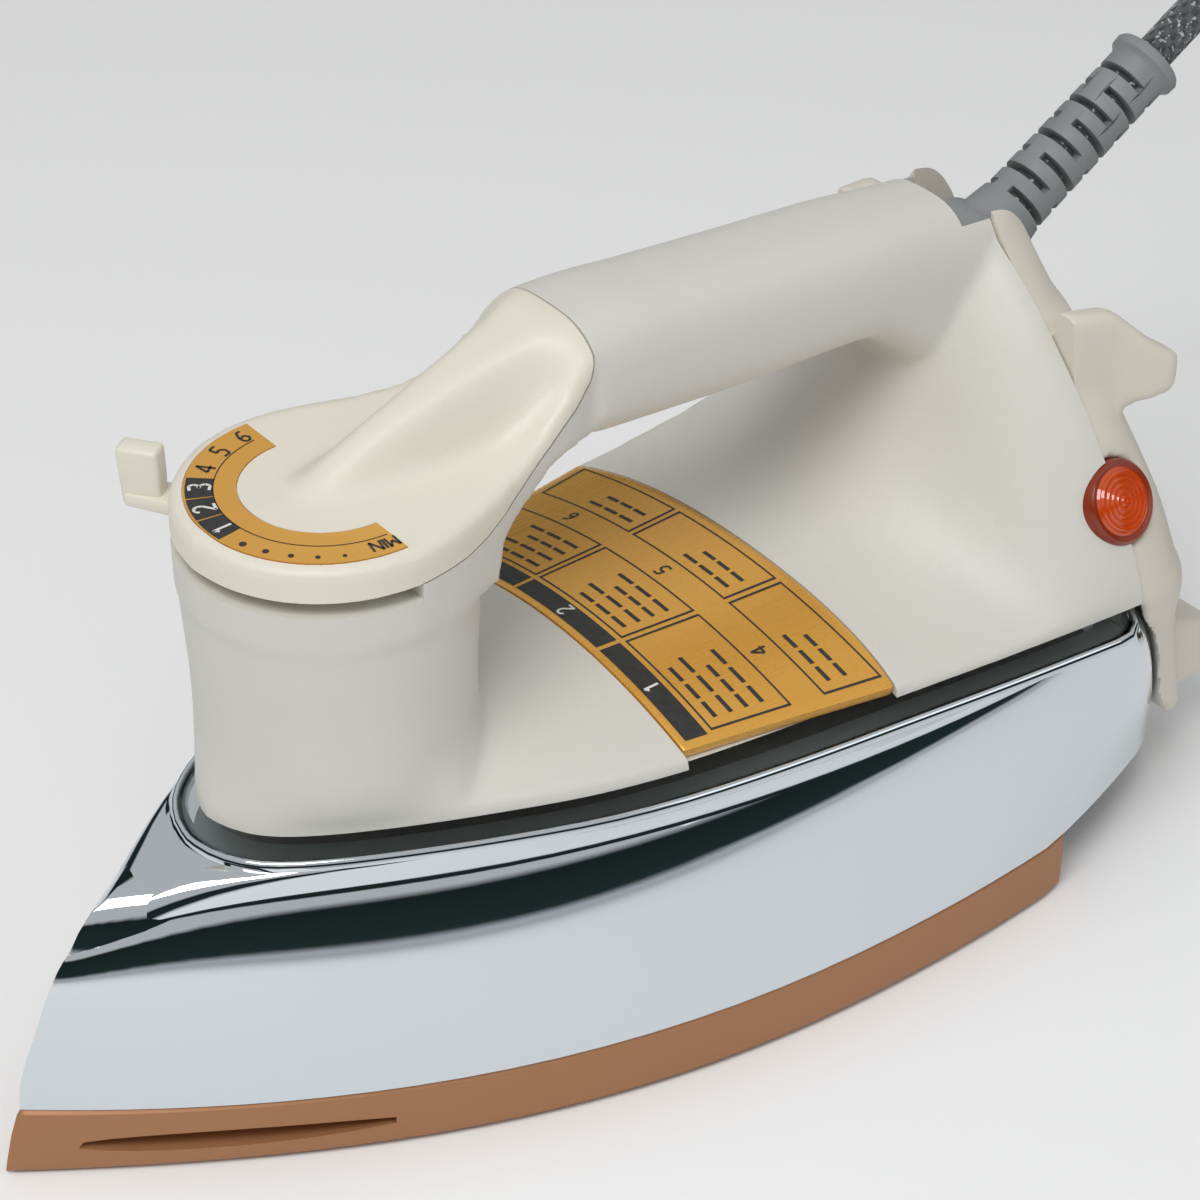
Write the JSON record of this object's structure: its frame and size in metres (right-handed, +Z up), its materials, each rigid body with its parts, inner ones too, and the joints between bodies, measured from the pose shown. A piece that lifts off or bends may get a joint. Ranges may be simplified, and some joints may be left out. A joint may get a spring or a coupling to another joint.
{
  "type": "clothes iron",
  "caption": "Heavy dry clothes iron with a chromed cover, moulded handle, temperature lever on a dial cap, swinging cord guard and a coiled mains lead.",
  "frame": {"origin": "on the floor, in the middle of the iron's length (nose to heel foot) and width", "axes": "+X from the nose to the heel, +Z up, sole on Z = 0"},
  "size_m": [0.437, 0.132, 0.1445],
  "materials": {
    "sole": "satin non-stick coating",
    "sheath": "dull",
    "brass": "bright",
    "mica": "satin",
    "weight": "rough",
    "fasteners": "zinc plated",
    "chrome": "mirror",
    "sheet_metal": "mill",
    "steatite": "matte",
    "handle_plastic": "fine matte grain",
    "rear_plastic": "fine matte grain",
    "gold_foil": "gold anodised, satin",
    "lens": "ridged, translucent orange",
    "lamp_glass": "clear",
    "lead_live": "smooth",
    "lead_neutral": "smooth",
    "lead_earth": "smooth",
    "dark_plastic": "matte",
    "guard_rubber": "matte",
    "braid": "textile braid with a light fleck",
    "plug_rubber": "matte"
  },
  "bodies": {
    "iron": {"soleplate": "sole", "heating_element": "sheath", "element_terminals": "brass", "insulating_sheet": "mica", "weight_block": "weight", "clamp_studs": "fasteners", "clamp_nuts": "fasteners", "chrome_cover": "chrome", "heat_shield": "sheet_metal", "thermostat_base": "fasteners", "bimetal_blade": "sheet_metal", "fixed_contact_blade": "brass", "contact_insulators": "steatite", "thermostat_rivet": "fasteners", "screw_bush": "brass", "dial_cap": "handle_plastic", "cap_screws": "fasteners", "scale_plate": "gold_foil", "handle_body": "handle_plastic", "handle_nuts": "fasteners", "label_plate": "gold_foil", "rear_cover": "rear_plastic", "rear_cover_screws": "fasteners", "pilot_lens": "lens", "neon_lamp": "lamp_glass", "lamp_resistor": "steatite", "terminal_block": "steatite", "terminal_screws": "brass", "thermal_fuse": "steatite", "live_lead": "lead_live", "neutral_lead": "lead_neutral", "earth_lead": "lead_earth", "cord_clamp": "dark_plastic", "guard_yoke": "guard_rubber", "cord_lead": "braid", "cord_coil": "braid", "cord_tail": "braid", "coil_tie": "dark_plastic", "plug_body": "plug_rubber", "plug_pins": "brass"},
    "temperature_lever": {"control_shaft": "fasteners", "temperature_lever": "handle_plastic", "control_cam": "fasteners"},
    "contact_blade": {"moving_contact_blade": "brass"},
    "cord_guard": {"cord_guard": "guard_rubber", "cord_core": "braid"}
  },
  "joints": [
    {"name": "temperature_turn", "type": "hinge", "parent": "iron", "child": "temperature_lever", "pos_m": [-0.055, 0, 0.098], "axis": [0, 0, -1], "range_deg": [-137, 30]},
    {"name": "contact_blade_flex", "type": "hinge", "parent": "iron", "child": "contact_blade", "pos_m": [-0.068, 0, 0.0255], "axis": [0, 1, 0], "range_deg": [-1.7, 0.38]},
    {"name": "guard_swing", "type": "hinge", "parent": "iron", "child": "cord_guard", "pos_m": [0.082, 0, 0.1016], "axis": [0, -1, 0], "range_deg": [-35, 45], "deforming": ["cord_lead"]}
  ],
  "couplings": [
    {"joint": "contact_blade_flex", "follows": "temperature_turn", "ratio": 0.01224}
  ]
}
